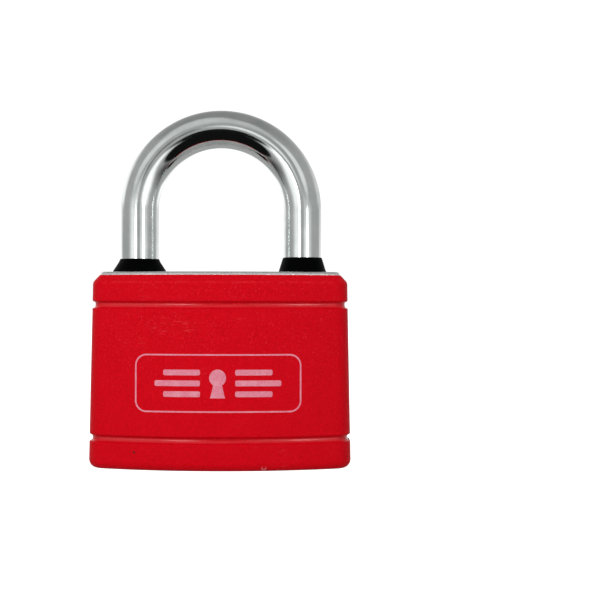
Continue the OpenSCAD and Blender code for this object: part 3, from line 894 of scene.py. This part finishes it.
def make_world():
    """The studio round the lock: grey above, bright bands in front, a dark pool below.
    Only reflections and soft light see it; the camera sees plain white."""
    world = bpy.data.worlds.new("studio")
    bpy.context.scene.world = world
    world.use_nodes = True
    tree = world.node_tree
    tree.nodes.clear()
    out = tree.nodes.new("ShaderNodeOutputWorld")
    coord = tree.nodes.new("ShaderNodeTexCoord").outputs["Generated"]

    def math_node(operation, a, b=0.0):
        node = tree.nodes.new("ShaderNodeMath")
        node.operation = operation
        for socket, value in zip(node.inputs, (a, b)):
            if isinstance(value, (int, float)):
                socket.default_value = value
            else:
                tree.links.new(value, socket)
        return node.outputs[0]

    def step(value, low, high):
        node = tree.nodes.new("ShaderNodeMapRange")
        node.interpolation_type = "SMOOTHSTEP"
        node.inputs["From Min"].default_value = low
        node.inputs["From Max"].default_value = high
        tree.links.new(value, node.inputs["Value"])
        return node.outputs[0]

    def lobe(azimuth, elevation, inner, outer):
        """1 within inner degrees of a direction, 0 beyond outer. Azimuth 0 is the front."""
        az, el = math.radians(azimuth), math.radians(elevation)
        node = tree.nodes.new("ShaderNodeVectorMath")
        node.operation = "DOT_PRODUCT"
        tree.links.new(coord, node.inputs[0])
        node.inputs[1].default_value = (
            math.sin(az) * math.cos(el), -math.cos(az) * math.cos(el), math.sin(el))
        return step(node.outputs["Value"], math.cos(math.radians(outer)), math.cos(math.radians(inner)))

    def toward(level, mask, value):
        """level moved to value where mask is 1."""
        node = tree.nodes.new("ShaderNodeMix")
        node.data_type = "FLOAT"
        for socket, source in zip(node.inputs[:1] + node.inputs[2:4], (mask, level, value)):
            if isinstance(source, (int, float)):
                socket.default_value = source
            else:
                tree.links.new(source, socket)
        return node.outputs[0]

    def product(*masks):
        result = masks[0]
        for mask in masks[1:]:
            result = math_node("MULTIPLY", result, mask)
        return result

    split = tree.nodes.new("ShaderNodeSeparateXYZ")
    tree.links.new(coord, split.inputs[0])
    x, y, z = split.outputs
    sideways = math_node("ABSOLUTE", x)
    # Dim walls, a dimmer ceiling, and dark ground at both sides of the front
    level = toward(0.40, step(z, 0.55, 0.95), 0.27)
    side_ground = product(step(sideways, 0.5, 0.85), step(z, -0.15, -0.62), step(y, 0.35, 0.0))
    level = toward(level, side_ground, 0.03)
    # A pale wall behind, brighter on the left
    behind = product(step(y, 0.1, 0.6), step(z, 0.62, 0.25), step(z, 0.03, 0.20))
    level = toward(level, behind, 0.70)
    level = toward(level, product(behind, step(x, 0.1, -0.3)), 1.10)
    # Broad soft panels above the lens, then one at either side
    level = toward(level, lobe(-24, 50, 6, 28), 0.62)
    level = toward(level, lobe(14, 46, 5, 17), 0.54)
    level = toward(level, lobe(-41, 26, 6, 19), 0.74)
    level = toward(level, lobe(34, 24, 7, 19), 0.84)
    level = toward(level, lobe(14, 21, 4, 13), 0.36)
    # Two bright strips at the height of the lens
    strip_foot = step(z, -0.37, -0.17)
    left_strip = product(step(x, -0.10, -0.22), step(x, -0.94, -0.62), strip_foot, step(z, 0.27, -0.04))
    right_strip = product(step(x, 0.06, 0.26), step(x, 0.94, 0.62), strip_foot, step(z, 0.19, -0.08))
    level = toward(level, left_strip, 1.16)
    level = toward(level, right_strip, 1.24)
    # Each strip has a hot middle, whose glint shows in the jacket's glossy grooves
    level = toward(level, lobe(-18, -2, 3.5, 7.5), 5.5)
    level = toward(level, lobe(30, -2, 4, 8), 5.5)
    # A small lamp above the lens, and the dark of the camera beside and under it
    level = toward(level, lobe(1, 12, 2.5, 8), 0.95)
    level = toward(level, lobe(-9, 10, 1.5, 6), 0.16)
    level = toward(level, lobe(-3.5, -16.5, 10.5, 15), 0.008)
    # The wide dark pool of the table's front
    level = toward(level, lobe(0, -62, 41.5, 44.5), 0.006)
    camera_ray = tree.nodes.new("ShaderNodeLightPath").outputs["Is Camera Ray"]
    level = toward(level, camera_ray, 1.05)
    shade = tree.nodes.new("ShaderNodeBackground")
    shade.inputs["Color"].default_value = (1.0, 1.0, 1.0, 1.0)
    tree.links.new(level, shade.inputs["Strength"])
    tree.links.new(shade.outputs[0], out.inputs[0])


def make_key_light():
    """A large soft light up and in front, left of the lens. It lights surfaces, and the studio's
    own surroundings are what they mirror."""
    stands = Vector((-90, -460, 400)) * MM
    aim = Vector((0, 0, 45)) * MM
    data = bpy.data.lights.new("key", "AREA")
    data.shape = "RECTANGLE"
    data.size = 300 * MM
    data.size_y = 220 * MM
    data.energy = 1.78
    light = bpy.data.objects.new("key", data)
    light.location = stands
    light.rotation_euler = (aim - stands).to_track_quat("-Z", "Y").to_euler()
    light.visible_glossy = False
    light.visible_camera = False
    bpy.context.scene.collection.objects.link(light)


def make_camera():
    """Straight on to the front, with the lock left of the middle of the frame."""
    distance = 400.0
    # Width of the view at the lock's middle plane
    field = 184.5
    roll = math.radians(-0.1)
    data = bpy.data.cameras.new("camera")
    data.sensor_width = 36.0
    data.lens = data.sensor_width * distance / field
    data.clip_start = 0.01
    camera = bpy.data.objects.new("camera", data)
    camera.location = Vector((24.3, -distance, 50.9)) * MM
    camera.rotation_euler = Euler((math.pi / 2, roll, 0.0))
    bpy.context.scene.collection.objects.link(camera)
    bpy.context.scene.camera = camera


make_floor()
make_world()
make_key_light()
make_camera()
bpy.context.scene.view_settings.view_transform = "Standard"
